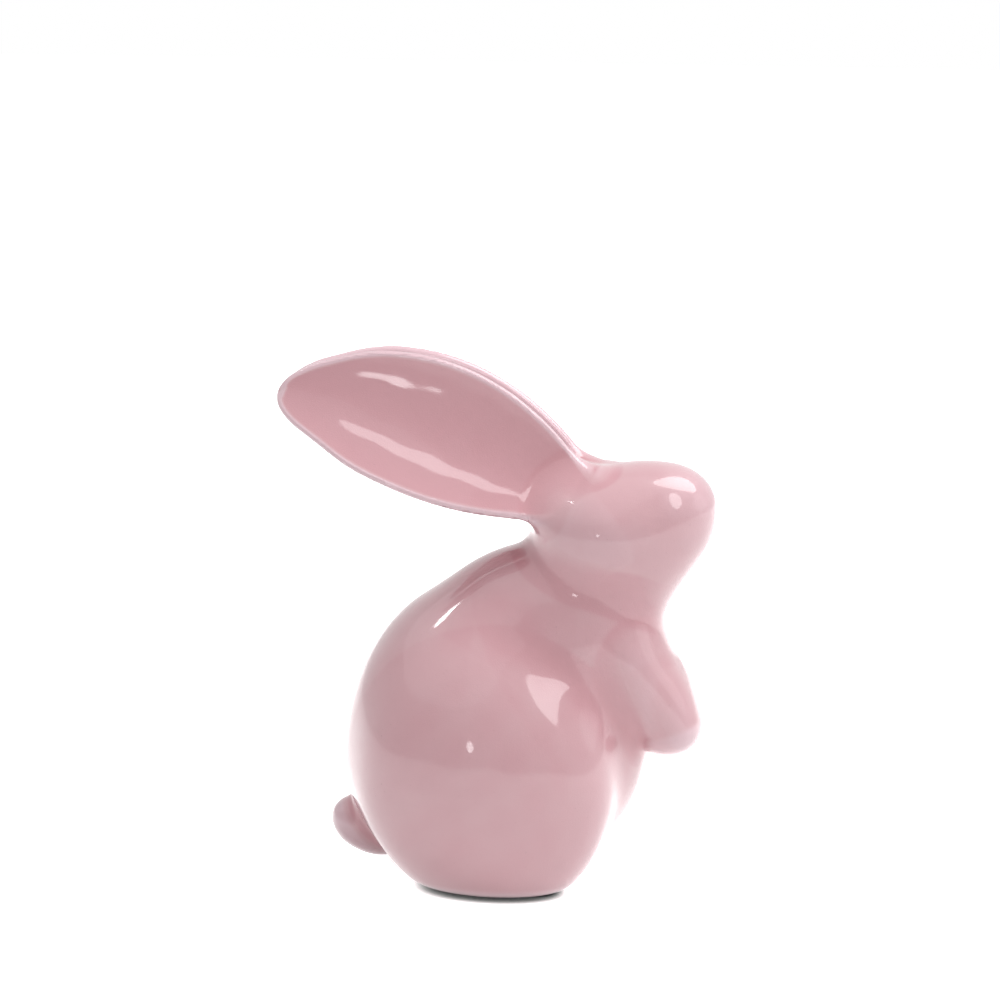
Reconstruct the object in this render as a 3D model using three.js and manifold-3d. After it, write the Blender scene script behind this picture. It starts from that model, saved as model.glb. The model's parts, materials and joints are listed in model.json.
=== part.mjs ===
// Rabbit figurine: hollow glazed ceramic castings luted together, standing on four felt pads.
// Millimetres and degrees, +Z up. The rabbit looks along -Y and X = 0 is its mirror plane.
// Its rounded surfaces are smooth unions of egg shapes, sampled along rays from inside each casting.

import * as THREE from "three";
import { mergeVertices } from "three/addons/utils/BufferGeometryUtils.js";
import Module from "manifold-3d";

const wasm = await Module();
wasm.setup();

// Walls, joints and the vent in the foot
const wallThickness = 4;
const lutingGap = 0.3;
const ventDiameter = 9;

// Felt pads under the foot
const padDiameter = 11;
const padThickness = 1;
const padSpacingAcross = 36;
const padSpacingAlong = 28;
const padsAheadOfTrunk = 6;

// Foot: the place of the trunk's middle over it and the rounding of its edge
const trunkAboveFoot = 35.7;
const trunkBehindOrigin = 2.8;
const footRounding = 3;
const footHeight = padThickness + lutingGap;

// How far the middle of each egg shape, the joint and the ear's root are set off from what they sit on
const thighOffset = { x: 22, y: -6, z: -3 };
const bellyOffset = { x: 0, y: -22, z: 13 };
const chestOffset = { x: 0, y: -29, z: 37 };
const neckOffset = { x: 0, y: -32, z: 56 };
const jointOffset = { x: 0, y: 4, z: -0.4 };
const skullOffset = { x: 0, y: -11, z: 20.4 };
const muzzleOffset = { x: 0, y: -17, z: 7 };
const chinOffset = { x: 0, y: -11, z: -12 };
const shoulderOffset = { x: 10, y: -17, z: -2 };
const toeOffset = { x: -3.5, y: -13.4, z: -21.2 };
const earRootOffset = { x: 0, y: 7, z: 9.5 };

// Egg shapes of the body. Each has a centre and its own reach from there to every side.
const trunkAt = new THREE.Vector3(0, trunkBehindOrigin, footHeight + trunkAboveFoot);
const trunk = { at: trunkAt, side: 42, front: 35, back: 46, up: 59, down: 40 };
const thigh = { at: from(trunkAt, thighOffset), side: 22, front: 36.5, back: 37, up: 40, down: 41 };
const belly = { at: from(trunkAt, bellyOffset), side: 22, front: 29, back: 30, up: 36, down: 44 };
const chest = { at: from(trunkAt, chestOffset), side: 22, front: 24, back: 26, up: 22, down: 26 };
const neck = { at: from(trunkAt, neckOffset), side: 17, front: 19.5, back: 34, up: 16, down: 22 };

// The luted joint across the neck, a plane that rises towards the back
const jointAt = from(neck.at, jointOffset);
const jointTilt = 15;

// Egg shapes of the head
const skullAt = from(jointAt, skullOffset);
const skull = { at: skullAt, side: 24, front: 26, back: 25, up: 19.4, down: 21 };
const muzzle = { at: from(skullAt, muzzleOffset), side: 15, front: 15.8, back: 20, up: 14, down: 19 };
const chin = { at: from(skullAt, chinOffset), side: 13, front: 10, back: 14, up: 14, down: 12 };

// Forepaws, which lean forward from shoulder to toe and meet at the mirror plane
const shoulderAt = from(chest.at, shoulderOffset);
const shoulder = { at: shoulderAt, side: 10, front: 10, back: 13, up: 14, down: 20, lean: -20 };
const toeAt = from(shoulderAt, toeOffset);
const toe = { at: toeAt, side: 7.5, front: 7.6, back: 10, up: 18, down: 7, lean: -18 };

// Tail, set on the trunk below its middle
const tailBelow = 34;
const tailStandOff = 3.5;
const tailShape = { side: 8.5, front: 14, back: 11, up: 9, down: 8, lean: 30 };

// Ears: leaves laid back from the skull, dished on their outer faces, with their upper rims side
// by side
const earRootAt = from(skullAt, earRootOffset);
const earLength = 103;
const earRise = 17;
const earRimsApart = 8.6;
const earSplay = 20;
const earHalfWidth = 21.8;
const earArch = 5.6;
const earThickness = 4.5;
const earDish = 5;

// Radii with which the shapes run into each other
const bellyBlend = 8;
const thighBlend = 8;
const chestBlend = 14;
const neckBlend = 20;
const napeBlend = 8;
const headBlend = 9;
const pawBlend = 5;
const pawInnerRounding = 2;
const tailBlend = 4;

// How far under the body's surface the feather edge of a luted root would end
const rootDepth = 1.6;

// Points around each surface, and rings of them from end to end
const bodyGrid = { around: 52, rings: 33 };
const headGrid = { around: 40, rings: 25 };
const cavityGrid = { around: 32, rings: 21 };
const pawGrid = { around: 28, rings: 21 };
const tailGrid = { around: 24, rings: 17 };
const earGrid = { around: 20, rings: 24 };
const roundSides = 28;

// A point at an offset from another
function from(point, offset) {
  return point.clone().add(offset);
}

// Height of a point above an egg's surface, close to true near it and negative inside. An egg
// that stands off the mirror plane has a twin across it.
function aboveEgg(egg, x, y, z) {
  const lean = THREE.MathUtils.degToRad(egg.lean ?? 0);
  const acrossX = Math.abs(x) - egg.at.x;
  const fromY = y - egg.at.y;
  const fromZ = z - egg.at.z;
  const alongY = fromY * Math.cos(lean) + fromZ * Math.sin(lean);
  const alongZ = fromZ * Math.cos(lean) - fromY * Math.sin(lean);
  const reachY = alongY < 0 ? egg.front : egg.back;
  const reachZ = alongZ < 0 ? egg.down : egg.up;
  const near = Math.hypot(acrossX / egg.side, alongY / reachY, alongZ / reachZ);
  const slope = Math.hypot(acrossX / egg.side ** 2, alongY / reachY ** 2, alongZ / reachZ ** 2);
  return slope === 0 ? -egg.side : (near * (near - 1)) / slope;
}

// The lower of two heights, rounded off where they are alike
function smoothMin(a, b, blend) {
  const share = Math.max(blend - Math.abs(a - b), 0) / blend;
  return Math.min(a, b) - (share * share * blend) / 4;
}

function smoothMax(a, b, blend) {
  return -smoothMin(-a, -b, blend);
}

// Trunk, belly, chest and neck, whose surface runs through the luted joint
function aboveTorso(x, y, z) {
  let above = aboveEgg(trunk, x, y, z);
  above = smoothMin(above, aboveEgg(belly, x, y, z), bellyBlend);
  above = smoothMin(above, aboveEgg(chest, x, y, z), chestBlend);
  return smoothMin(above, aboveEgg(neck, x, y, z), neckBlend);
}

function aboveBody(x, y, z) {
  const above = smoothMin(aboveTorso(x, y, z), aboveEgg(thigh, x, y, z), thighBlend);
  return smoothMax(above, footHeight - z, footRounding);
}

function aboveHead(x, y, z) {
  let above = aboveEgg(skull, x, y, z);
  above = smoothMin(above, aboveEgg(muzzle, x, y, z), headBlend);
  above = smoothMin(above, aboveEgg(chin, x, y, z), headBlend);
  return smoothMin(above, aboveTorso(x, y, z), napeBlend);
}

// The left forepaw, with its root running out over the chest
function abovePaw(x, y, z) {
  const paw = smoothMin(aboveEgg(shoulder, x, y, z), aboveEgg(toe, x, y, z), pawBlend);
  const rooted = smoothMin(paw, aboveBody(x, y, z) + rootDepth, pawBlend);
  return smoothMax(rooted, lutingGap / 2 - x, pawInnerRounding);
}

const tail = tailEgg();

function tailEgg() {
  const below = THREE.MathUtils.degToRad(tailBelow);
  const onTrunk = new THREE.Vector3(0, trunk.back * Math.cos(below), -trunk.down * Math.sin(below));
  const outward = new THREE.Vector3(0, Math.cos(below) / trunk.back, -Math.sin(below) / trunk.down);
  outward.setLength(tailStandOff);
  return { at: from(trunk.at, onTrunk).add(outward), ...tailShape };
}

function aboveTail(x, y, z) {
  return smoothMin(aboveEgg(tail, x, y, z), aboveBody(x, y, z) + rootDepth, tailBlend);
}

// Triangles between rings of points, with a flat face at both ends. Each four-sided patch is split
// along its shorter diagonal, so that both sides of the mirror plane come out alike.
function skinOver(points, around) {
  const positions = points.flatMap((point) => [point.x, point.y, point.z]);
  const indices = [];
  const lastRing = points.length - around;
  for (let ring = 0; ring < lastRing; ring += around) {
    for (let column = 0; column < around; column += 1) {
      const a = ring + column;
      const b = ring + ((column + 1) % around);
      const c = b + around;
      const d = a + around;
      const splitAtA = points[a].distanceTo(points[c]) < points[b].distanceTo(points[d]);
      if (splitAtA) indices.push(a, b, c, a, c, d);
      else indices.push(a, b, d, b, c, d);
    }
  }
  for (let column = 1; column < around - 1; column += 1) {
    indices.push(0, column + 1, column);
    indices.push(lastRing, lastRing + column, lastRing + column + 1);
  }
  const geometry = new THREE.BufferGeometry();
  geometry.setAttribute("position", new THREE.Float32BufferAttribute(positions, 3));
  geometry.setIndex(indices);
  return geometry;
}

// Closed surface where a field first rises through a level, along rays from a centre. The end
// rings are kept just off the poles, so that every ring has as many points.
function sampledSurface({ field, centre, level = 0, around, rings, reach }) {
  const points = [];
  const steps = 60;
  const halvings = 30;
  const poleRing = 0.01;
  for (let ring = 0; ring < rings; ring += 1) {
    const polar = THREE.MathUtils.clamp((Math.PI * ring) / (rings - 1), poleRing, Math.PI - poleRing);
    for (let column = 0; column < around; column += 1) {
      const turn = (2 * Math.PI * column) / around;
      const across = Math.sin(polar);
      const ray = new THREE.Vector3(across * Math.cos(turn), across * Math.sin(turn), -Math.cos(polar));
      const pointAt = (distance) => centre.clone().addScaledVector(ray, distance);
      const isInside = (distance) => field(...pointAt(distance)) < level;
      let inside = 0;
      let outside = reach / steps;
      while (outside < reach && isInside(outside)) {
        inside = outside;
        outside += reach / steps;
      }
      for (let halving = 0; halving < halvings; halving += 1) {
        const middle = (inside + outside) / 2;
        if (isInside(middle)) inside = middle;
        else outside = middle;
      }
      points.push(pointAt(inside));
    }
  }
  return skinOver(points, around);
}

function solidOf(geometry) {
  const bare = geometry.clone();
  bare.deleteAttribute("normal");
  bare.deleteAttribute("uv");
  const merged = mergeVertices(bare, 1e-5);
  const vertProperties = new Float32Array(merged.attributes.position.array);
  const triVerts = new Uint32Array(merged.index.array);
  return new wasm.Manifold(new wasm.Mesh({ numProp: 3, vertProperties, triVerts }));
}

function geometryOf(solid) {
  const mesh = solid.getMesh();
  const geometry = new THREE.BufferGeometry();
  geometry.setAttribute("position", new THREE.Float32BufferAttribute(mesh.vertProperties, 3));
  geometry.setIndex(Array.from(mesh.triVerts));
  return geometry;
}

// The twin of a geometry across the mirror plane, with its faces turned back outwards
function acrossMirror(geometry) {
  const index = Array.from(geometry.index.array);
  for (let corner = 0; corner < index.length; corner += 3) {
    [index[corner + 1], index[corner + 2]] = [index[corner + 2], index[corner + 1]];
  }
  return geometry.clone().scale(-1, 1, 1).setIndex(index);
}

// A block that fills all above (1) or below (-1) the joint across the neck, moved by a clearance
function jointBlock(side, clearance) {
  const size = 4 * (trunk.up + trunk.back);
  const block = new THREE.BoxGeometry(size, size, size);
  block.translate(0, 0, (side * size) / 2 + clearance);
  block.rotateX(THREE.MathUtils.degToRad(jointTilt));
  block.translate(...jointAt);
  return solidOf(block);
}

// A disc or a round cutter that stands upright with its middle at a point
function uprightDisc(diameter, thickness, x, y, z) {
  const disc = new THREE.CylinderGeometry(diameter / 2, diameter / 2, thickness, roundSides);
  disc.rotateX(Math.PI / 2);
  disc.translate(x, y, z);
  return solidOf(disc);
}

// Surface of the body at a height above its skin. A negative height gives the inside of the wall.
function bodySurface(level, grid) {
  const centre = trunk.at.clone().lerp(belly.at, 0.3);
  const reach = trunk.up + neck.up + neck.back;
  return solidOf(sampledSurface({ field: aboveBody, level, centre, reach, ...grid }));
}

function headSurface(level, grid) {
  const centre = skull.at.clone().lerp(chin.at, 0.25);
  const reach = skull.back + neck.back;
  return solidOf(sampledSurface({ field: aboveHead, level, centre, reach, ...grid }));
}

function bodyShell() {
  const vent = uprightDisc(ventDiameter, 4 * wallThickness, 0, trunkAt.y, footHeight);
  const hollow = bodySurface(-wallThickness, cavityGrid).add(vent);
  return geometryOf(bodySurface(0, bodyGrid).subtract(hollow).subtract(jointBlock(1, 0)));
}

function headShell() {
  const hollow = headSurface(-wallThickness, cavityGrid);
  return geometryOf(headSurface(0, headGrid).subtract(hollow).subtract(jointBlock(-1, lutingGap)));
}

const bodyKeptClear = bodySurface(lutingGap, bodyGrid);
const headKeptClear = headSurface(lutingGap, headGrid);

function leftForepaw() {
  const centre = shoulder.at.clone().lerp(toe.at, 0.5);
  const reach = shoulder.down + toe.down;
  const surface = sampledSurface({ field: abovePaw, centre, reach, ...pawGrid });
  return geometryOf(solidOf(surface).subtract(bodyKeptClear).subtract(headKeptClear));
}

function tailNub() {
  const reach = tail.front + tail.down;
  const surface = sampledSurface({ field: aboveTail, centre: tail.at, reach, ...tailGrid });
  return geometryOf(solidOf(surface).subtract(bodyKeptClear));
}

// A smooth curve through points of a share and a value, read as the value at any share
function curveThrough(...points) {
  const curve = new THREE.SplineCurve(points.map(([share, value]) => new THREE.Vector2(share, value)));
  return (share) => {
    let low = 0;
    let high = 1;
    for (let halving = 0; halving < 20; halving += 1) {
      const middle = (low + high) / 2;
      if (curve.getPoint(middle).x < share) low = middle;
      else high = middle;
    }
    return curve.getPoint(low).y;
  };
}

function leftEar() {
  const { around, rings } = earGrid;
  // Shares of the ear's length from its root, with the share of its half width or of its arch there
  const leafWidth = curveThrough([0, 0.28], [0.13, 0.62], [0.32, 0.91], [0.51, 1], [0.71, 0.88],
    [0.885, 0.54], [0.95, 0.36], [0.985, 0.2], [1, 0.05]);
  const leafArch = curveThrough([0, -0.1], [0.22, 0.64], [0.51, 1], [0.76, 0.9], [0.885, 0.6], [1, 0.2]);
  const rise = THREE.MathUtils.degToRad(earRise);
  const splay = THREE.MathUtils.degToRad(-earSplay);
  const along = new THREE.Vector3(0, Math.cos(rise), Math.sin(rise));
  const outward = new THREE.Vector3(1, 0, 0);
  const upward = new THREE.Vector3().crossVectors(outward, along);
  outward.applyAxisAngle(along, splay);
  upward.applyAxisAngle(along, splay);
  const points = [];
  for (let ring = 0; ring < rings; ring += 1) {
    // The rings close up towards the tip, where the leaf rounds off.
    const share = Math.sin((Math.PI / 2) * (ring / (rings - 1)));
    const halfWidth = earHalfWidth * leafWidth(share);
    const dish = earDish * leafWidth(share);
    const halfThickness = Math.min(earThickness / 2, halfWidth / 2);
    const middle = earRootAt.clone().addScaledVector(along, earLength * share);
    middle.addScaledVector(upward, earArch * leafArch(share));
    middle.x = earRimsApart / 2 - halfWidth * upward.x - dish * outward.x;
    for (let column = 0; column < around; column += 1) {
      const turn = (2 * Math.PI * column) / around;
      const point = middle.clone().addScaledVector(upward, halfWidth * Math.cos(turn));
      point.addScaledVector(outward, dish * Math.cos(turn) ** 2 + halfThickness * Math.sin(turn));
      points.push(point);
    }
  }
  return geometryOf(solidOf(skinOver(points, around)).subtract(headKeptClear));
}

function footPad(side, end) {
  const x = (side * padSpacingAcross) / 2;
  const y = trunkAt.y - padsAheadOfTrunk + (end * padSpacingAlong) / 2;
  return geometryOf(uprightDisc(padDiameter, padThickness, x, y, padThickness / 2));
}

const glaze = { color: 0xd2a8ae, roughness: 0.1, metalness: 0 };
const felt = { color: 0xd9cfc6, roughness: 0.95, metalness: 0 };
const rabbit = new THREE.Group();

function addPiece(name, geometry, finish) {
  const mesh = new THREE.Mesh(geometry, new THREE.MeshStandardMaterial(finish));
  mesh.name = name;
  rabbit.add(mesh);
}

const forepaw = leftForepaw();
const ear = leftEar();
addPiece("body_shell", bodyShell(), glaze);
addPiece("head_shell", headShell(), glaze);
addPiece("ear_left", ear, glaze);
addPiece("ear_right", acrossMirror(ear), glaze);
addPiece("forepaw_left", forepaw, glaze);
addPiece("forepaw_right", acrossMirror(forepaw), glaze);
addPiece("tail", tailNub(), glaze);
for (const [end, endName] of [[-1, "front"], [1, "rear"]]) {
  for (const [side, sideName] of [[-1, "right"], [1, "left"]]) {
    addPiece(`foot_pad_${endName}_${sideName}`, footPad(side, end), felt);
  }
}

export default rabbit;
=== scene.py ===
"""A seated rabbit figurine in glossy pink glaze, seen in a plain studio.

The seven ceramic castings were luted together before one glaze ran over all of them. So their
clay is first joined into one body, its creases are filled as the glaze fills them, and the result
is parted again along the luted joints. Millimetres are used for shapes, and metres for Blender.
The rabbit looks along -Y, its left is +X, and X = 0 is its mirror plane.
"""

import json
import math
from dataclasses import dataclass

import bmesh
import bpy
import numpy as np
from mathutils import Matrix, Vector

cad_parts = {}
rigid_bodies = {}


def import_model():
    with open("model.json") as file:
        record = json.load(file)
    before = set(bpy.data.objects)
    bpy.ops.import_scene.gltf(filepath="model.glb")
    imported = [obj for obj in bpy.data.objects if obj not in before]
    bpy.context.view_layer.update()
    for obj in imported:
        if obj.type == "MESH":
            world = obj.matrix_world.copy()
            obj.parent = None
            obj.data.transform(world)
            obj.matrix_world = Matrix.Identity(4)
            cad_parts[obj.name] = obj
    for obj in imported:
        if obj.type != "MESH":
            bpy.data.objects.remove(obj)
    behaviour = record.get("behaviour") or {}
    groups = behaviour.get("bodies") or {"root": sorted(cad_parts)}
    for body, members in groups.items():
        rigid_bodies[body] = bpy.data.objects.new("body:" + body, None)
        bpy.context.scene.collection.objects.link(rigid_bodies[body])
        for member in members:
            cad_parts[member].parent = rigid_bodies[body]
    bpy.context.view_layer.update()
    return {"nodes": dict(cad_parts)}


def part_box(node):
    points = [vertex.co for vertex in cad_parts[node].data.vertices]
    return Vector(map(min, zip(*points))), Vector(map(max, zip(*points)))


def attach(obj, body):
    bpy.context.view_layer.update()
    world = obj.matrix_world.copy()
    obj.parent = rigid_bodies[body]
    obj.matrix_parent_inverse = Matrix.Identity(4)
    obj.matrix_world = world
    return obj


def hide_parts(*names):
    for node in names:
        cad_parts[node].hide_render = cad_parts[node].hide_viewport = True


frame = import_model()

MM = 0.001
# Keeps a divisor off zero
TINY = 1e-6

# The height of the ceramic foot, and the pads under it, from the frame
FOOT_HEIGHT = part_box("body_shell")[0].z / MM
PAD_NAMES = [name for name in frame["nodes"] if name.startswith("foot_pad")]


@dataclass
class Egg:
    """An egg with its own reach from its middle to every side, leaning by turning about X."""
    middle: tuple
    side: float
    front: float
    back: float
    up: float
    down: float
    lean: float = 0


TRUNK = Egg((0, 2.8, FOOT_HEIGHT + 35.7), side=41, front=35, back=46, up=59, down=40)


def set_off(point, x, y, z):
    """A point at an offset from another."""
    return (point[0] + x, point[1] + y, point[2] + z)


THIGH = Egg(set_off(TRUNK.middle, 22, -6, -3), side=21, front=36.5, back=37, up=40, down=41)
BELLY = Egg(set_off(TRUNK.middle, 0, -22, 13), side=22, front=29, back=30, up=36, down=44)
CHEST = Egg(set_off(TRUNK.middle, 0, -29, 37), side=22, front=24, back=26, up=22, down=26)
NECK = Egg(set_off(TRUNK.middle, 0, -32, 56), side=17, front=19.5, back=34, up=16, down=22)

NECK_JOINT = set_off(NECK.middle, 0, 4, -0.4)
NECK_JOINT_TILT = 15
SKULL = Egg(set_off(NECK_JOINT, 0, -11, 20.4), side=24, front=26, back=25, up=19.4, down=21)
MUZZLE = Egg(set_off(SKULL.middle, 0, -17, 7), side=15, front=15.8, back=20, up=14, down=19)
CHIN = Egg(set_off(SKULL.middle, 0, -11, -12), side=13, front=10, back=14, up=14, down=12)

SHOULDER = Egg(set_off(CHEST.middle, 10, -17, -2),
               side=10, front=10, back=13, up=14, down=20, lean=-20)
TOE = Egg(set_off(SHOULDER.middle, -3.5, -13.4, -21.2),
          side=7.5, front=7.6, back=10, up=18, down=7, lean=-18)

# The tail sits on the trunk at an angle below its middle, and stands a little off it
TAIL_BELOW = math.radians(34)
TAIL_STAND_OFF = 3.5
TAIL_OUTWARD = Vector((0, math.cos(TAIL_BELOW) / TRUNK.back, -math.sin(TAIL_BELOW) / TRUNK.down))
TAIL_OUTWARD.normalize()
TAIL_SEAT = set_off(TRUNK.middle, 0, TRUNK.back * math.cos(TAIL_BELOW),
                    -TRUNK.down * math.sin(TAIL_BELOW))
TAIL = Egg(set_off(TAIL_SEAT, *(TAIL_OUTWARD * TAIL_STAND_OFF)),
           side=8.5, front=14, back=11, up=9, down=8, lean=30)

# The ears: dished leaves laid back, with their upper rims side by side
EAR_ROOT = set_off(SKULL.middle, 0, 7, 9.5)
EAR_LENGTH = 103
EAR_RISE = math.radians(17)
EAR_RIMS_APART = 8.6
EAR_SPLAY = math.radians(20)
EAR_HALF_WIDTH = 21.8
EAR_ARCH = 5.6
EAR_THICKNESS = 4.5
EAR_RIM_RADIUS = 1.4
EAR_DISH = 5
# Shares of the ear's length, with the share of its half width or of its arch there
LEAF_WIDTH = ((0, 0.28), (0.13, 0.62), (0.32, 0.91), (0.51, 1), (0.71, 0.88), (0.885, 0.54),
              (0.95, 0.36), (0.985, 0.2), (1, 0.05))
LEAF_ARCH = ((0, -0.1), (0.22, 0.64), (0.51, 1), (0.76, 0.9), (0.885, 0.6), (1, 0.2))
CURVE_STEPS = 40

# How widely the forms run into each other under the glaze
FOOT_ROUNDING = 3
BELLY_BLEND = 8
THIGH_BLEND = 12
CHEST_BLEND = 14
NECK_BLEND = 20
NAPE_BLEND = 8
HEAD_BLEND = 9
PAW_BLEND = 5
PAWS_GROOVE = 15
ARM_BLEND = 11
TAIL_BLEND = 5
EAR_BLEND = 5
EAR_ROOT_BLEND = 16
EAR_ROOT_REACH = 32
EARS_BLEND = 2.5

# The slow waves of the fired glaze, and how far each runs askew
WAVE_LENGTH = 17
WAVE_HEIGHT = 0.016
WAVE_SKEW = (0.6, 0.4, 0.8)

# Slopes are measured over this distance to both sides
SLOPE_STEP = 0.02

# The remeshed clay: the size of its facets
FACET = 0.72


def smooth_min(a, b, blend):
    """The lower of two heights, rounded off where they are alike."""
    share = np.maximum(blend - np.abs(a - b), 0) / blend
    return np.minimum(a, b) - share * share * blend / 4


def smooth_max(a, b, blend):
    return -smooth_min(-a, -b, blend)


def above_egg(egg, points, side=0):
    """Heights of points over an egg's surface. Side 1 or -1 is the left or right one of a pair,
    and 0 is either, whichever is nearer."""
    x = points[:, 0] * side if side else np.abs(points[:, 0])
    x = x - egg.middle[0]
    y = points[:, 1] - egg.middle[1]
    z = points[:, 2] - egg.middle[2]
    lean = math.radians(egg.lean)
    y, z = (y * math.cos(lean) + z * math.sin(lean), z * math.cos(lean) - y * math.sin(lean))
    reach_y = np.where(y < 0, egg.front, egg.back)
    reach_z = np.where(z < 0, egg.down, egg.up)
    near = np.sqrt((x / egg.side) ** 2 + (y / reach_y) ** 2 + (z / reach_z) ** 2)
    slope = np.sqrt((x / egg.side ** 2) ** 2 + (y / reach_y ** 2) ** 2 + (z / reach_z ** 2) ** 2)
    return near * (near - 1) / np.maximum(slope, TINY)


def curve_through(knots, shares):
    """Values at some shares of a smooth curve through knots of a share and a value."""
    knots = np.array([knots[0], *knots, knots[-1]], float)
    step = np.linspace(0, 1, CURVE_STEPS, endpoint=False)[:, None]
    curve = []
    for before, start, end, after in zip(knots, knots[1:], knots[2:], knots[3:]):
        leave, arrive = (end - before) / 2, (after - start) / 2
        curve.append(start + leave * step + (3 * (end - start) - 2 * leave - arrive) * step ** 2
                     + (2 * (start - end) + leave + arrive) * step ** 3)
    curve = np.vstack([*curve, knots[-1]])
    return np.interp(shares, curve[:, 0], curve[:, 1])


EAR_ALONG = np.array((0, math.cos(EAR_RISE), math.sin(EAR_RISE)))
EAR_TURN = Matrix.Rotation(-EAR_SPLAY, 3, Vector(EAR_ALONG))
EAR_OUTWARD = np.array(EAR_TURN @ Vector((1, 0, 0)))
EAR_UPWARD = np.cross(EAR_OUTWARD, EAR_ALONG)


def leaf_section(share):
    """Half width, dish, half thickness and middle of the left ear's sections at some shares."""
    width = curve_through(LEAF_WIDTH, share)
    half_width = EAR_HALF_WIDTH * width
    dish = EAR_DISH * width
    half_thickness = np.minimum(EAR_THICKNESS / 2, half_width / 2)
    middle = (np.array(EAR_ROOT) + np.outer(EAR_LENGTH * share, EAR_ALONG)
              + np.outer(EAR_ARCH * curve_through(LEAF_ARCH, share), EAR_UPWARD))
    middle[:, 0] = EAR_RIMS_APART / 2 - half_width * EAR_UPWARD[0] - dish * EAR_OUTWARD[0]
    return half_width, dish, half_thickness, middle


def leaf_core(across, half_thickness):
    """The round rim's radius, and the half thickness that the leaf has inside it, at some shares
    across the leaf."""
    rim = np.minimum(EAR_RIM_RADIUS, half_thickness)
    return rim, (half_thickness - rim) * np.maximum(1 - across ** 2, 0)


def above_ear(points, side):
    """Heights of points over the surface of the left (1) or right (-1) ear."""
    mirrored = points * (side, 1, 1)
    along = (mirrored - EAR_ROOT) @ EAR_ALONG
    beyond = along - np.clip(along, 0, EAR_LENGTH)
    half_width, dish, half_thickness, middle = leaf_section((along - beyond) / EAR_LENGTH)
    from_middle = np.abs((mirrored - middle) @ EAR_UPWARD)
    across = from_middle / half_width
    rim, core = leaf_core(across, half_thickness)
    dished = dish * np.where(across < 1, across ** 2, 2 * across - 1)
    leaning = 2 * dish / half_width * np.minimum(across, 1)
    through = ((mirrored - middle) @ EAR_OUTWARD - dished) / np.hypot(1, leaning)
    past_rim = from_middle - half_width + rim
    past_core = np.abs(through) - core
    height = (np.hypot(np.maximum(past_rim, 0), np.maximum(past_core, 0))
              + np.minimum(np.maximum(past_rim, past_core), 0) - rim)
    return np.where(beyond == 0, height, np.hypot(np.maximum(height, 0), beyond))


def above_rabbit(points):
    """Heights of points over the glazed surface of the whole rabbit."""
    above = above_egg(TRUNK, points)
    above = smooth_min(above, above_egg(BELLY, points), BELLY_BLEND)
    above = smooth_min(above, above_egg(CHEST, points), CHEST_BLEND)
    above = smooth_min(above, above_egg(NECK, points), NECK_BLEND)
    head = above_egg(SKULL, points)
    head = smooth_min(head, above_egg(MUZZLE, points), HEAD_BLEND)
    head = smooth_min(head, above_egg(CHIN, points), HEAD_BLEND)
    above = smooth_min(above, head, NAPE_BLEND)
    above = smooth_min(above, above_egg(THIGH, points), THIGH_BLEND)
    paws = [smooth_min(above_egg(SHOULDER, points, side), above_egg(TOE, points, side), ARM_BLEND)
            for side in (1, -1)]
    above = smooth_min(above, smooth_min(*paws, PAWS_GROOVE), PAW_BLEND)
    above = smooth_min(above, above_egg(TAIL, points), TAIL_BLEND)
    from_root = np.linalg.norm(points - EAR_ROOT, axis=1)
    at_root = np.clip(1 - from_root / EAR_ROOT_REACH, 0, 1)
    ear_blend = EAR_BLEND + (EAR_ROOT_BLEND - EAR_BLEND) * at_root ** 2 * (3 - 2 * at_root)
    ears = smooth_min(above_ear(points, 1), above_ear(points, -1), EARS_BLEND)
    above = smooth_min(above, ears, ear_blend)
    x, y, z = points.T * (2 * math.pi / WAVE_LENGTH)
    skew_x, skew_y, skew_z = WAVE_SKEW
    waves = np.sin(x + skew_x * z) * np.sin(y - skew_y * x) + np.sin(z + skew_z * y)
    return smooth_max(above + WAVE_HEIGHT * waves, FOOT_HEIGHT - points[:, 2], FOOT_ROUNDING)


def slope_at(points, step=SLOPE_STEP):
    """The direction in which the height over the glazed surface rises, and how fast."""
    slopes = [above_rabbit(points + step * axis) - above_rabbit(points - step * axis)
              for axis in np.eye(3)]
    return np.stack(slopes, axis=1) / (2 * step)


def in_metres(point):
    return Vector(point) * MM


def coordinates(piece):
    """A mesh's points as rows, in millimetres."""
    points = np.empty(len(piece.data.vertices) * 3)
    piece.data.vertices.foreach_get("co", points)
    return points.reshape(-1, 3) / MM


def move_points(piece, points):
    piece.data.vertices.foreach_set("co", (points * MM).ravel())
    piece.data.update()


def name_last(name):
    """Names the object that was added last, and its mesh."""
    piece = bpy.context.object
    piece.name = name
    piece.data.name = name
    return piece


def only(*pieces):
    """Selects just these pieces, the first one active."""
    bpy.ops.object.select_all(action="DESELECT")
    for piece in pieces:
        piece.select_set(True)
    bpy.context.view_layer.objects.active = pieces[0]


def settle_origin(piece):
    """Puts a piece's place, turn and scale into its mesh."""
    only(piece)
    bpy.ops.object.transform_apply(location=True, rotation=True, scale=True)


def finish_with(piece, kind, **settings):
    """Adds a modifier with its settings and applies it."""
    only(piece)
    modifier = piece.modifiers.new(kind.title(), kind)
    for setting, value in settings.items():
        setattr(modifier, setting, value)
    bpy.ops.object.modifier_apply(modifier=modifier.name)


def choose(piece, wanted, kind="verts"):
    """In edit mode, selects the points or faces of a piece for which wanted is true."""
    mesh = bmesh.from_edit_mesh(piece.data)
    bpy.ops.mesh.select_mode(type="VERT" if kind == "verts" else "FACE")
    bpy.ops.mesh.select_all(action="DESELECT")
    for element in getattr(mesh, kind):
        element.select = wanted(element)
    mesh.select_flush_mode()
    bmesh.update_edit_mesh(piece.data)


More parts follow.
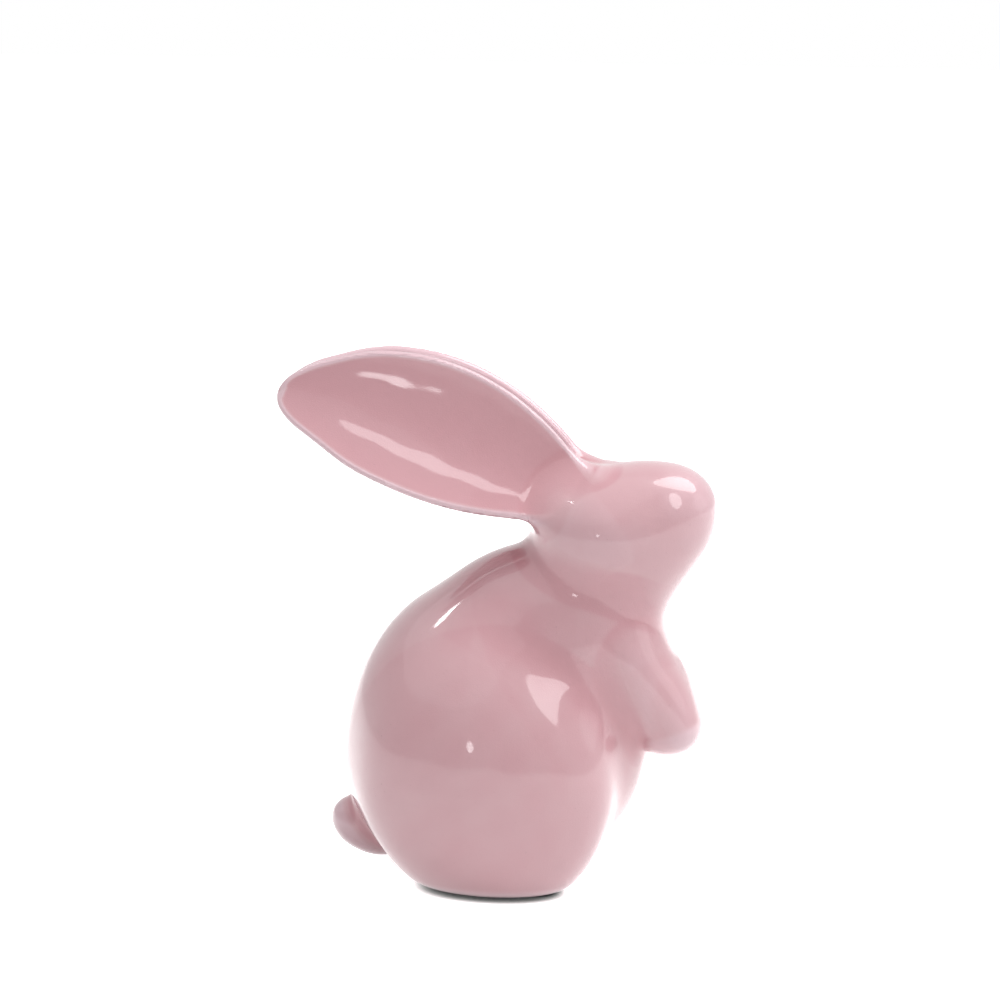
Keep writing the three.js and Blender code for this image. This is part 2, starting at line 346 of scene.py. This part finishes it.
# The round lumps of clay, before they are drawn out: how finely each is divided, and how near to
# its middle plane a point is in neither half, or how near to its axis it is a pole
EGG_SEGMENTS, EGG_RINGS = 64, 32
EAR_SEGMENTS, EAR_RINGS = 72, 96
ON_MIDDLE_PLANE = 0.001
AT_POLE = 0.001


def egg_of_clay(name, egg, side=1):
    """A sphere whose halves are drawn out to the egg's reaches, then leaned."""
    middle = in_metres((egg.middle[0] * side, *egg.middle[1:]))
    bpy.ops.object.select_all(action="DESELECT")
    bpy.ops.mesh.primitive_uv_sphere_add(segments=EGG_SEGMENTS, ring_count=EGG_RINGS, radius=MM,
                                         location=middle)
    piece = name_last(name)
    bpy.ops.object.mode_set(mode="EDIT")
    bpy.ops.transform.resize(value=(egg.side, 1, 1), center_override=middle)
    halves = ((1, -1, egg.front), (1, 1, egg.back), (2, -1, egg.down), (2, 1, egg.up))
    for axis, way, reach in halves:
        choose(piece, lambda point: point.co[axis] * way > ON_MIDDLE_PLANE * MM)
        scale = [1, 1, 1]
        scale[axis] = reach
        bpy.ops.transform.resize(value=scale, center_override=middle)
    bpy.ops.mesh.select_all(action="SELECT")
    bpy.ops.transform.rotate(value=-math.radians(egg.lean), orient_axis="X", center_override=middle)
    bpy.ops.object.mode_set(mode="OBJECT")
    settle_origin(piece)
    return piece


def ear_of_clay(name, side):
    """A sphere drawn out along the ear, each of its rings made the leaf's section there."""
    bpy.ops.object.select_all(action="DESELECT")
    bpy.ops.mesh.primitive_uv_sphere_add(segments=EAR_SEGMENTS, ring_count=EAR_RINGS, radius=MM)
    piece = name_last(name)
    ball = coordinates(piece)
    radius = np.maximum(np.hypot(ball[:, 0], ball[:, 1]), TINY)
    is_pole = radius < AT_POLE
    across, through = ball[:, 0] / radius, ball[:, 1] / radius
    share = (1 + ball[:, 2]) / 2
    half_width, dish, half_thickness, middle = leaf_section(share)
    rim, core = leaf_core(across, half_thickness)
    bulge = np.sign(through) * core + rim * through
    half_width = np.where(is_pole, 0, half_width)
    bulge = np.where(is_pole, 0, bulge)
    points = (middle + np.outer(half_width * across, 1) * EAR_UPWARD
              + np.outer(dish * across ** 2 + bulge, 1) * EAR_OUTWARD)
    points[:, 0] *= side
    move_points(piece, points)
    bpy.ops.object.mode_set(mode="EDIT")
    bpy.ops.mesh.select_all(action="SELECT")
    bpy.ops.mesh.normals_make_consistent(inside=False)
    bpy.ops.object.mode_set(mode="OBJECT")
    return piece


def luted_clay():
    """All castings as one closed body, remeshed; its creases are filled later, as it settles."""
    lumps = [egg_of_clay(name, egg) for name, egg in
             (("trunk", TRUNK), ("belly", BELLY), ("chest", CHEST), ("neck", NECK),
              ("skull", SKULL), ("muzzle", MUZZLE), ("chin", CHIN), ("tail_nub", TAIL))]
    for side in (1, -1):
        lumps += [egg_of_clay(name, egg, side) for name, egg in
                  (("thigh", THIGH), ("shoulder", SHOULDER), ("toe", TOE))]
        lumps.append(ear_of_clay("leaf", side))
    only(*lumps)
    bpy.ops.object.join()
    clay = name_last("clay")
    finish_with(clay, "REMESH", mode="VOXEL", voxel_size=FACET * MM)
    return clay


LONGEST_MOVE = 1.2
LEAST_STEEPNESS = 0.05


def settle(clay, rounds):
    """Moves the clay's points onto the glazed surface, a little at a time."""
    points = coordinates(clay)
    for _ in range(rounds):
        slope = slope_at(points)
        steepness = np.maximum((slope ** 2).sum(1), LEAST_STEEPNESS)
        move = np.clip(above_rabbit(points), -LONGEST_MOVE, LONGEST_MOVE) / steepness
        points -= slope * move[:, None]
    move_points(clay, points)


def cut_level_at_foot(clay):
    only(clay)
    bpy.ops.object.mode_set(mode="EDIT")
    bpy.ops.mesh.select_all(action="SELECT")
    bpy.ops.mesh.bisect(plane_co=in_metres((0, 0, FOOT_HEIGHT)), plane_no=(0, 0, -1),
                        use_fill=True, clear_outer=True)
    bpy.ops.object.mode_set(mode="OBJECT")
    finish_with(clay, "REMESH", mode="VOXEL", voxel_size=FACET * MM)


def keep_main_skin(piece, outward):
    """Keeps the skin that reaches farthest in a direction, and deletes the small pockets and
    slivers that a remesh or a cut leaves."""
    only(piece)
    farthest = int(np.argmax(coordinates(piece) @ np.array(outward)))
    bpy.ops.object.mode_set(mode="EDIT")
    choose(piece, lambda point: point.index == farthest)
    bpy.ops.mesh.select_linked()
    bpy.ops.mesh.select_all(action="INVERT")
    bpy.ops.mesh.delete(type="VERT")
    bpy.ops.object.mode_set(mode="OBJECT")


# Rounds of settling, with the share and the repeats of the smoothing after them
SETTLE_THEN_SMOOTH = ((4, 0.5, 3), (4, 0.4, 1))
LAST_SETTLING = 3


def glazed_rabbit():
    """The whole rabbit as one smooth closed skin."""
    clay = luted_clay()
    cut_level_at_foot(clay)
    keep_main_skin(clay, outward=(0, 0, 1))
    for rounds, share, repeats in SETTLE_THEN_SMOOTH:
        settle(clay, rounds)
        finish_with(clay, "SMOOTH", factor=share, iterations=repeats)
    settle(clay, LAST_SETTLING)
    return clay


def block_beyond(point, normal, size, side=1):
    """A block with one face on a plane, reaching out along its normal. Side -1 is the same block
    across the mirror plane."""
    normal = Vector((normal[0] * side, *normal[1:])).normalized()
    middle = Vector((point[0] * side, *point[1:])) + normal * size / 2
    bpy.ops.object.select_all(action="DESELECT")
    bpy.ops.mesh.primitive_cube_add(size=size * MM, location=in_metres(middle),
                                    rotation=normal.to_track_quat("Z", "Y").to_euler())
    block = name_last("block")
    settle_origin(block)
    return block


def halve(block, side):
    """Cuts a block off at the mirror plane, and keeps its left (1) or right (-1) part."""
    only(block)
    bpy.ops.object.mode_set(mode="EDIT")
    bpy.ops.mesh.select_all(action="SELECT")
    bpy.ops.mesh.bisect(plane_co=(0, 0, 0), plane_no=(-side, 0, 0), use_fill=True, clear_outer=True)
    bpy.ops.object.mode_set(mode="OBJECT")


def copy_of(piece, name):
    only(piece)
    bpy.ops.object.duplicate()
    return name_last(name)


def cut_with(piece, block, operation):
    finish_with(piece, "BOOLEAN", operation=operation, object=block, solver="MANIFOLD")


def part_off(rest, name, *joint, size):
    """Parts a casting off beyond a luted joint, and gives it its own name."""
    casting = copy_of(rest, name)
    block = block_beyond(*joint, size=size)
    cut_with(casting, block, "INTERSECT")
    cut_with(rest, block, "DIFFERENCE")
    bpy.data.objects.remove(block)
    return casting


def part_off_pair(rest, name, *joint, size):
    """Parts off the left and the right one of a pair, which meet at the mirror plane."""
    pair = {}
    for side, word in ((1, "left"), (-1, "right")):
        pair[side] = copy_of(rest, f"{name}_{word}")
        block = block_beyond(*joint, side=side, size=size)
        halve(block, side)
        cut_with(pair[side], block, "INTERSECT")
        bpy.data.objects.remove(block)
    for side in (1, -1):
        block = block_beyond(*joint, side=side, size=size)
        cut_with(rest, block, "DIFFERENCE")
        bpy.data.objects.remove(block)
    return pair


# How far the glaze evens out its own normals; how widely the bend is measured that sets where the
# glaze is painted paler, as thin glaze and painted sheen, or deeper, as pooled glaze and painted
# shade; and how alike the directions of a face and of the glazed surface are where the face is skin
# and not a cut
GLAZE_EVENED_OVER = 1.0
BEND_MEASURED_WITHIN = 1.5
SKIN_AGREES = 0.3


def lay_glaze_on(casting):
    """Gives a casting's skin the normals of the whole glazed surface, so that no joint shows, and
    stores how much the surface bends out over edges (above 0) or into creases (below 0), which sets
    where the glaze is painted paler, as thin glaze and painted sheen, and deeper, as pooled glaze
    and painted shade."""
    mesh = casting.data
    points = coordinates(casting)
    slope = slope_at(points, GLAZE_EVENED_OVER)
    normals = slope / np.linalg.norm(slope, axis=1)[:, None]
    crosswise = np.cross(normals, (0, 0, 1))
    crosswise /= np.maximum(np.linalg.norm(crosswise, axis=1), TINY)[:, None]
    upwards = np.cross(normals, crosswise)
    bend = sum(above_rabbit(points + way * BEND_MEASURED_WITHIN * tangent)
               for tangent in (crosswise, upwards) for way in (1, -1))
    bend = (bend - 4 * above_rabbit(points)) / BEND_MEASURED_WITHIN ** 2
    mesh.attributes.new("glaze_thinning_and_painted_light", "FLOAT", "POINT").data.foreach_set("value", bend)
    corner_point = np.empty(len(mesh.loops), int)
    mesh.loops.foreach_get("vertex_index", corner_point)
    face_normal = np.empty(len(mesh.polygons) * 3)
    mesh.polygons.foreach_get("normal", face_normal)
    face_sides = np.empty(len(mesh.polygons), int)
    mesh.polygons.foreach_get("loop_total", face_sides)
    of_face = np.repeat(face_normal.reshape(-1, 3), face_sides, axis=0)
    of_point = normals[corner_point]
    is_skin = (of_face * of_point).sum(1) > SKIN_AGREES
    mesh.shade_smooth()
    mesh.normals_split_custom_set(np.where(is_skin[:, None], of_point, of_face).tolist())


# The planes of the luted joints: a point on each, and the way to the casting that it carries
NECK_NORMAL = (0, -math.sin(math.radians(NECK_JOINT_TILT)), math.cos(math.radians(NECK_JOINT_TILT)))
EAR_JOINT, EAR_NORMAL = (8.4, -18, 124), (0.453, 0.552, 0.7)
PAW_JOINT, PAW_NORMAL = (10.5, -49.2, 61.1), (0.311, -0.94, -0.14)
TAIL_JOINT, TAIL_NORMAL = (0, 39.5, 13.2), (0, 0.765, -0.644)

# The blocks that part the castings off hold all that is beyond a joint, and nothing else
HEAD_BLOCK = 300
EAR_BLOCK = 260
PAW_BLOCK = 50
TAIL_BLOCK = 60


def castings():
    """The seven castings, by the names of the nodes that they stand for."""
    body = glazed_rabbit()
    body.name = "glazed_body"
    head = part_off(body, "glazed_head", NECK_JOINT, NECK_NORMAL, size=HEAD_BLOCK)
    ears = part_off_pair(head, "glazed_ear", EAR_JOINT, EAR_NORMAL, size=EAR_BLOCK)
    forepaws = part_off_pair(body, "glazed_forepaw", PAW_JOINT, PAW_NORMAL, size=PAW_BLOCK)
    tail = part_off(body, "glazed_tail", TAIL_JOINT, TAIL_NORMAL, size=TAIL_BLOCK)
    parts = {"body_shell": body, "head_shell": head, "ear_left": ears[1], "ear_right": ears[-1],
             "forepaw_left": forepaws[1], "forepaw_right": forepaws[-1], "tail": tail}
    farthest_out = {"body_shell": (0, 1, 0), "head_shell": (0, -1, 0), "tail": TAIL_NORMAL,
                    "ear_left": (0, 1, 0), "ear_right": (0, 1, 0),
                    "forepaw_left": (0, -1, 0), "forepaw_right": (0, -1, 0)}
    for node, casting in parts.items():
        keep_main_skin(casting, farthest_out[node])
        if node == "body_shell":
            drill_vent(casting)
        lay_glaze_on(casting)
    return parts


VENT_RADIUS = 4.5
VENT_DEPTH = 9
VENT_SIDES = 64


def drill_vent(body):
    """Bores the hole in the foot through which air leaves the hollow in the kiln."""
    foot_middle = (0, TRUNK.middle[1], FOOT_HEIGHT)
    bpy.ops.object.select_all(action="DESELECT")
    bpy.ops.mesh.primitive_cylinder_add(vertices=VENT_SIDES, radius=VENT_RADIUS * MM,
                                        depth=2 * VENT_DEPTH * MM, location=in_metres(foot_middle))
    bore = name_last("bore")
    settle_origin(bore)
    cut_with(body, bore, "DIFFERENCE")
    bpy.data.objects.remove(bore)


FELT_SIDES = 72
FELT_RINGS = 5
FELT_EDGE = 0.22
TUFT_SIZE = 0.9
TUFT_HEIGHT = 0.14
# A face lies flat when its normal is this upright
FACE_IS_FLAT = 0.99


def felt_pad(node_name):
    """A pressed felt disc with a soft cut edge, in the place of the frame's plain one."""
    low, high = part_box(node_name)
    size = high - low
    bpy.ops.object.select_all(action="DESELECT")
    bpy.ops.mesh.primitive_cylinder_add(vertices=FELT_SIDES, radius=size.x / 2, depth=size.z,
                                        location=(low + high) / 2)
    pad = name_last(node_name.replace("foot_pad", "felt_pad"))
    settle_origin(pad)
    finish_with(pad, "BEVEL", width=FELT_EDGE * MM, segments=2, limit_method="ANGLE")
    bpy.ops.object.mode_set(mode="EDIT")
    choose(pad, lambda face: abs(face.normal.z) > FACE_IS_FLAT, "faces")
    for _ in range(FELT_RINGS):
        bpy.ops.mesh.inset(thickness=size.x / 2 / (FELT_RINGS + 1))
    bpy.ops.object.mode_set(mode="OBJECT")
    finish_with(pad, "SUBSURF", levels=2, render_levels=2)
    tufts = bpy.data.textures.new("felt_tufts", "CLOUDS")
    tufts.noise_scale = TUFT_SIZE * MM
    finish_with(pad, "DISPLACE", texture=tufts, strength=TUFT_HEIGHT * MM, mid_level=1)
    pad.data.shade_smooth()
    return pad


class Wire:
    """A socket that carries numbers, so that shader sums are written as Python ones."""

    def __init__(self, nodes, socket):
        self.nodes = nodes
        self.socket = socket

    def sum(self, operation, *values):
        return self.nodes.add("ShaderNodeMath", {"operation": operation}, dict(enumerate(values)))

    def __add__(self, other):
        return self.sum("ADD", self, other)

    __radd__ = __add__

    def __sub__(self, other):
        return self.sum("SUBTRACT", self, other)

    def __rsub__(self, other):
        return self.sum("SUBTRACT", other, self)

    def __mul__(self, other):
        return self.sum("MULTIPLY", self, other)

    __rmul__ = __mul__

    def clamped(self):
        """The value kept from 0 to 1."""
        return self.nodes.add("ShaderNodeClamp", {}, {"Value": self})

    def or_more(self, other):
        return self.sum("MAXIMUM", self, other)


class Nodes:
    """The nodes of one material or world."""

    def __init__(self, owner):
        owner.use_nodes = True
        self.tree = owner.node_tree
        self.tree.nodes.clear()

    def add(self, kind, settings, values, output=0):
        """Adds a node: its settings first, then the values or links of its sockets in use, by
        name or number."""
        node = self.tree.nodes.new(kind)
        for setting, value in settings.items():
            setattr(node, setting, value)
        in_use = [socket for socket in node.inputs if socket.enabled]
        by_name = {socket.name: socket for socket in reversed(in_use)}
        for key, value in values.items():
            socket = by_name[key] if isinstance(key, str) else in_use[key]
            if isinstance(value, Wire):
                self.tree.links.new(value.socket, socket)
            else:
                socket.default_value = value
        outputs = [socket for socket in node.outputs if socket.enabled]
        if not outputs:
            return None
        if isinstance(output, str):
            return Wire(self, next(socket for socket in outputs if socket.name == output))
        return Wire(self, outputs[output])

    def place(self):
        """Where a point is on its piece, in metres."""
        return self.add("ShaderNodeTexCoord", {}, {}, "Object")

    def grain(self, size, detail=2, offset=(0, 0, 0), stretch=(1, 1, 1)):
        """Noise from 0 to 1 whose lumps are about so many millimetres wide."""
        place = self.add("ShaderNodeMapping", {}, {"Vector": self.place(), "Location": offset,
                                                   "Scale": stretch})
        return self.add("ShaderNodeTexNoise", {}, {"Vector": place, "Scale": 1 / (size * MM),
                                                   "Detail": detail})

    def blended(self, share, colour, other):
        """One colour where the share is 0, and the other where it is 1."""
        colours = [each if isinstance(each, Wire) else (*each, 1) for each in (colour, other)]
        return self.add("ShaderNodeMix", {"data_type": "RGBA"},
                        {"Factor": share, "A": colours[0], "B": colours[1]})

    def bumped(self, height, distance, normal=None):
        """The normal of a surface that rises by the distance, in millimetres, from 0 to 1."""
        below = {"Normal": normal} if normal else {}
        return self.add("ShaderNodeBump", {}, {"Height": height, "Distance": distance * MM,
                                               "Strength": 1, **below})


# The deep, flat and pale pinks are partly the glaze's own depth and partly painted light: painted
# shade on flat faces and in creases, painted sheen over edges and tops.
POOLED_SHADE_PINK = (0.56, 0.24, 0.27)
FLAT_SHADE_PINK = (0.60, 0.305, 0.34)
PINK = (0.632, 0.362, 0.395)
THIN_SHEEN_PINK = (0.74, 0.52, 0.57)
DRY_CLAY = (0.72, 0.63, 0.54)
PALE_CLAY = (0.78, 0.70, 0.62)
PINHOLE_BROWN = (0.30, 0.17, 0.15)

# The sizes of what varies in the glaze, and the heights of its peel and sand
CLOUD_SIZE = 26
FLOW_SIZE = 5
FLOW_STRETCH = (1, 1, 0.45)
FRECKLE_SIZE = 0.55
PEEL_SIZE, PEEL_HEIGHT = 2.4, 0.035
SAND_SIZE, SAND_HEIGHT = 0.35, 0.05

# How fast each colour comes in as the surface bends out, for thin glaze and painted sheen, or in,
# for pooled glaze and painted shade, how much the grain shifts that, and the largest share that the
# colour takes
FLAT_GAIN, FLAT_SHIFT = 22, 0.8
POOL_SHADE_GAIN, POOL_SHADE_SHIFT, POOL_SHADE_SHARE = 9, 0.3, 0.5
THIN_SHEEN_FROM, THIN_SHEEN_GAIN, THIN_SHEEN_SHIFT, THIN_SHEEN_SHARE = 0.06, 6, 0.25, 0.85
PINHOLE_FROM, PINHOLE_GAIN, PINHOLE_SHARE = 0.755, 30, 0.35

# The line where the glaze ends over the dry foot, and how far the vent is dry beyond its walls
GLAZE_LINE_HEIGHT = 0.35
GLAZE_LINE_WANDER = 0.6
GLAZE_LINE_SHARPNESS = 8
DRY_ROUND_VENT = 0.5
DRY_OVER_VENT = 1
GLAZE_ROUGHNESS = 0.3
DRY_ROUGHNESS = 0.8


def pink_glaze():
    """Glossy pink glaze, painted paler over edges and tops, where it is thin and where painted
    sheen lies, and deeper on flat faces and in creases, where it is thick and where painted shade
    lies, on a white clay that shows dry and matte under the foot and in the vent."""
    material = bpy.data.materials.new("pink_glaze")
    glaze = Nodes(material)
    thinning_and_painted_light = glaze.add("ShaderNodeAttribute", {"attribute_name": "glaze_thinning_and_painted_light"}, {}, "Fac")
    clouds = glaze.grain(CLOUD_SIZE, detail=3)
    flow = glaze.grain(FLOW_SIZE, stretch=FLOW_STRETCH)
    freckles = glaze.grain(FRECKLE_SIZE, detail=1)

    # Darker pink on flat faces, such as the ears' dishes, than on rounded ones: partly glaze that
    # lies thicker there, partly painted shade.
    raised = (thinning_and_painted_light * FLAT_GAIN + (clouds - 0.5) * FLAT_SHIFT).clamped()
    colour = glaze.blended(raised, FLAT_SHADE_PINK, PINK)
    # Deeper pink in creases and hollows: partly glaze that pools there, partly painted shade.
    pooled_and_shade = (thinning_and_painted_light * -POOL_SHADE_GAIN + (flow - 0.5) * POOL_SHADE_SHIFT).clamped()
    colour = glaze.blended(pooled_and_shade * POOL_SHADE_SHARE, colour, POOLED_SHADE_PINK)
    # Paler pink over convex edges and tops: partly glaze that runs thin there, partly painted sheen
    # that lightens them as reflections would.
    thin_and_sheen = ((thinning_and_painted_light - THIN_SHEEN_FROM) * THIN_SHEEN_GAIN + (flow - 0.5) * THIN_SHEEN_SHIFT).clamped()
    colour = glaze.blended(thin_and_sheen * THIN_SHEEN_SHARE, colour, THIN_SHEEN_PINK)
    pinholes = ((freckles - PINHOLE_FROM) * PINHOLE_GAIN).clamped()
    colour = glaze.blended(pinholes * PINHOLE_SHARE, colour, PINHOLE_BROWN)

    x, y, z = (glaze.add("ShaderNodeSeparateXYZ", {}, {0: glaze.place()}, axis) * (1 / MM)
               for axis in "XYZ")
    behind_vent = y - TRUNK.middle[1]
    in_vent = ((VENT_RADIUS + DRY_ROUND_VENT) ** 2 - x * x - behind_vent * behind_vent).clamped()
    under_hollow = (FOOT_HEIGHT + VENT_DEPTH + DRY_OVER_VENT - z).clamped()
    glaze_line = FOOT_HEIGHT + GLAZE_LINE_HEIGHT * (1 + GLAZE_LINE_WANDER * flow)
    below_line = ((glaze_line - z) * GLAZE_LINE_SHARPNESS).clamped()
    dry = below_line.or_more(in_vent * under_hollow)
    colour = glaze.blended(dry, colour, glaze.blended(flow, DRY_CLAY, PALE_CLAY))

    normal = glaze.bumped(glaze.grain(PEEL_SIZE, detail=1), PEEL_HEIGHT)
    normal = glaze.bumped(glaze.grain(SAND_SIZE), SAND_HEIGHT, normal)
    surface = glaze.add("ShaderNodeBsdfPrincipled", {}, {
        "Base Color": colour,
        "Roughness": GLAZE_ROUGHNESS + dry * (DRY_ROUGHNESS - GLAZE_ROUGHNESS),
        "Normal": normal,
        "Coat Weight": 1 - dry,
        "Coat Roughness": 0.06,
        "Coat IOR": 1.5,
        "Specular IOR Level": 0.3,
    })
    glaze.add("ShaderNodeOutputMaterial", {}, {"Surface": surface})
    return material


FELT_GREY = (0.50, 0.46, 0.42)
FELT_BEIGE = (0.74, 0.67, 0.60)
FIBRE_SIZE, FIBRE_HEIGHT = 0.12, 0.12
FIBRE_STRETCH = 0.15
FIBRE_OFFSET = (0.004, 0, 0)
FIBRE_PALE_FROM, FIBRE_GAIN = 0.45, 3
PATCH_SIZE, PATCH_SHARE = 2.5, 0.3
FELT_ROUGHNESS, FIBRE_ROUGHNESS = 0.85, 0.15


def pressed_felt():
    """Matte grey-beige wool felt, with loose fibres that lie every way."""
    material = bpy.data.materials.new("pressed_felt")
    felt = Nodes(material)
    fibres_along = felt.grain(FIBRE_SIZE, detail=3, stretch=(FIBRE_STRETCH, 1, 1))
    fibres_across = felt.grain(FIBRE_SIZE, detail=3, offset=FIBRE_OFFSET,
                               stretch=(1, FIBRE_STRETCH, 1))
    patches = felt.grain(PATCH_SIZE)
    fibres = fibres_along.or_more(fibres_across)
    pale = ((fibres - FIBRE_PALE_FROM) * FIBRE_GAIN).clamped()
    colour = felt.blended(pale, FELT_GREY, FELT_BEIGE)
    colour = felt.blended(patches * PATCH_SHARE, colour, FELT_BEIGE)
    surface = felt.add("ShaderNodeBsdfPrincipled", {}, {
        "Base Color": colour,
        "Roughness": FELT_ROUGHNESS + fibres * FIBRE_ROUGHNESS,
        "Normal": felt.bumped(fibres, FIBRE_HEIGHT),
        "Specular IOR Level": 0.2,
        "Sheen Weight": 0.4,
        "Sheen Roughness": 0.5,
    })
    felt.add("ShaderNodeOutputMaterial", {}, {"Surface": surface})
    return material


def dress(piece, material, node):
    """Finishes a piece and lets it stand for a node of the frame."""
    piece.data.materials.clear()
    piece.data.materials.append(material)
    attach(piece, "root")
    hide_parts(node)


# The camera: it looks from the rabbit's right, a little from the front and from above
VIEW_AIM = Vector((0, 0, 0.080))
VIEW_AZIMUTH = math.radians(-79)
VIEW_HEIGHT = math.radians(14)
VIEW_DISTANCE = 1.1
VIEW_LENS = 125.7
FRAMED_ABOVE_AIM = 0.0396
FRAMED_RIGHT_OF_AIM = 0.0008


def towards(azimuth, height):
    """The direction at an azimuth from -Y towards +X, and at a height over the floor."""
    return Vector((math.sin(azimuth) * math.cos(height), -math.cos(azimuth) * math.cos(height),
                   math.sin(height)))


def set_up_camera():
    back = towards(VIEW_AZIMUTH, VIEW_HEIGHT)
    right = Vector((0, 0, 1)).cross(back).normalized()
    framed = VIEW_AIM + back.cross(right) * FRAMED_ABOVE_AIM + right * FRAMED_RIGHT_OF_AIM
    place = VIEW_AIM + back * VIEW_DISTANCE
    bpy.ops.object.camera_add(location=place,
                              rotation=(place - framed).to_track_quat("Z", "Y").to_euler())
    camera = bpy.context.object
    camera.name = "camera"
    camera.data.lens = VIEW_LENS
    bpy.context.scene.camera = camera


FLOOR_SIZE = 6
WORLD_LIGHT = 0.34


def seen_sharply(nodes):
    """1 for rays from the camera and for those that a mirror or glass sends on, 0 for others."""
    rays = [nodes.add("ShaderNodeLightPath", {}, {}, f"Is {kind} Ray")
            for kind in ("Camera", "Glossy", "Transmission")]
    return rays[0].or_more(rays[1]).or_more(rays[2])


def light_world():
    """A white surround that lights less brightly than it is seen."""
    world = bpy.data.worlds.new("white_surround")
    bpy.context.scene.world = world
    surround = Nodes(world)
    strength = WORLD_LIGHT + seen_sharply(surround) * (1 - WORLD_LIGHT)
    surface = surround.add("ShaderNodeBackground", {},
                           {"Color": (1, 1, 1, 1), "Strength": strength})
    surround.add("ShaderNodeOutputWorld", {}, {"Surface": surface})


# The floor's colour for the light that it sends on, and its colour and glow as the camera sees
# it; then the shadow of what stands on it
FLOOR_COLOUR = 0.8
FLOOR_SEEN_COLOUR = 1.1
FLOOR_GLOW = 0.8
CONTACT_REACH = 2.8
CONTACT_SHARPNESS = 1.9
CONTACT_DARKNESS = 0.35


def lay_floor():
    """A pale floor that the camera sees as white, with only the shadow where the foot meets it."""
    bpy.ops.object.select_all(action="DESELECT")
    bpy.ops.mesh.primitive_plane_add(size=FLOOR_SIZE)
    floor = name_last("floor")
    material = bpy.data.materials.new("pale_floor")
    paint = Nodes(material)
    plain = paint.add("ShaderNodeBsdfDiffuse", {}, {"Color": (*[FLOOR_COLOUR] * 3, 1)})
    openness = paint.add("ShaderNodeAmbientOcclusion", {"samples": 16},
                         {"Distance": CONTACT_REACH * MM}, "AO")
    openness = (openness * CONTACT_SHARPNESS - CONTACT_DARKNESS).clamped()
    black_to_white = paint.blended(openness, (0, 0, 0), [FLOOR_SEEN_COLOUR] * 3)
    shaded = paint.add("ShaderNodeBsdfDiffuse", {}, {"Color": black_to_white})
    glow = paint.add("ShaderNodeEmission", {}, {"Strength": openness * FLOOR_GLOW})
    seen = paint.add("ShaderNodeAddShader", {}, {0: shaded, 1: glow})
    surface = paint.add("ShaderNodeMixShader", {}, {0: seen_sharply(paint), 1: plain, 2: seen})
    paint.add("ShaderNodeOutputMaterial", {}, {"Surface": surface})
    floor.data.materials.append(material)


LAMP_DISTANCE = 1.8


@dataclass
class Softbox:
    """A lamp that stands at an azimuth and height round the rabbit and is so many degrees wide and
    high from there, and so many times as bright as white paper."""
    azimuth: float
    height: float
    wide: float
    high: float
    brightness: float


SOFTBOXES = {
    "front_window": Softbox(azimuth=-37, height=40, wide=14, high=34, brightness=4.5),
    "back_lamp": Softbox(azimuth=-178, height=50, wide=5, high=5, brightness=24),
    "far_lamp": Softbox(azimuth=16, height=62, wide=34, high=50, brightness=5),
    "side_strip": Softbox(azimuth=-84, height=46, wide=24, high=7, brightness=4.5),
    "low_lamp": Softbox(azimuth=-101, height=8, wide=5, high=5, brightness=8),
    "front_card": Softbox(azimuth=6, height=18, wide=34, high=30, brightness=0.7),
    "back_card": Softbox(azimuth=-150, height=60, wide=90, high=70, brightness=0.42),
}
EAR_LAMP = "side_strip"


def light_softboxes():
    """Puts up the lamps. The ears' lamp lights only the castings in a collection, which is still
    empty and is given back."""
    lit_ears = bpy.data.collections.new("lit_ears")
    for name, softbox in SOFTBOXES.items():
        back = towards(math.radians(softbox.azimuth), math.radians(softbox.height))
        bpy.ops.object.light_add(type="AREA", location=VIEW_AIM + back * LAMP_DISTANCE,
                                 rotation=back.to_track_quat("Z", "Y").to_euler())
        lamp = bpy.context.object
        lamp.name = name
        lamp.data.shape = "ELLIPSE"
        lamp.data.size = 2 * LAMP_DISTANCE * math.tan(math.radians(softbox.wide / 2))
        lamp.data.size_y = 2 * LAMP_DISTANCE * math.tan(math.radians(softbox.high / 2))
        area = math.pi / 4 * lamp.data.size * lamp.data.size_y
        lamp.data.energy = softbox.brightness * math.pi * area
        if name == EAR_LAMP:
            lamp.light_linking.receiver_collection = lit_ears
    return lit_ears


def main():
    bpy.context.scene.view_settings.view_transform = "Standard"
    set_up_camera()
    light_world()
    lay_floor()
    lit_ears = light_softboxes()
    glaze = pink_glaze()
    for node, casting in castings().items():
        dress(casting, glaze, node)
        if node.startswith("ear_"):
            lit_ears.objects.link(casting)
    felt = pressed_felt()
    for node in PAD_NAMES:
        dress(felt_pad(node), felt, node)
    bpy.ops.object.select_all(action="DESELECT")


main()
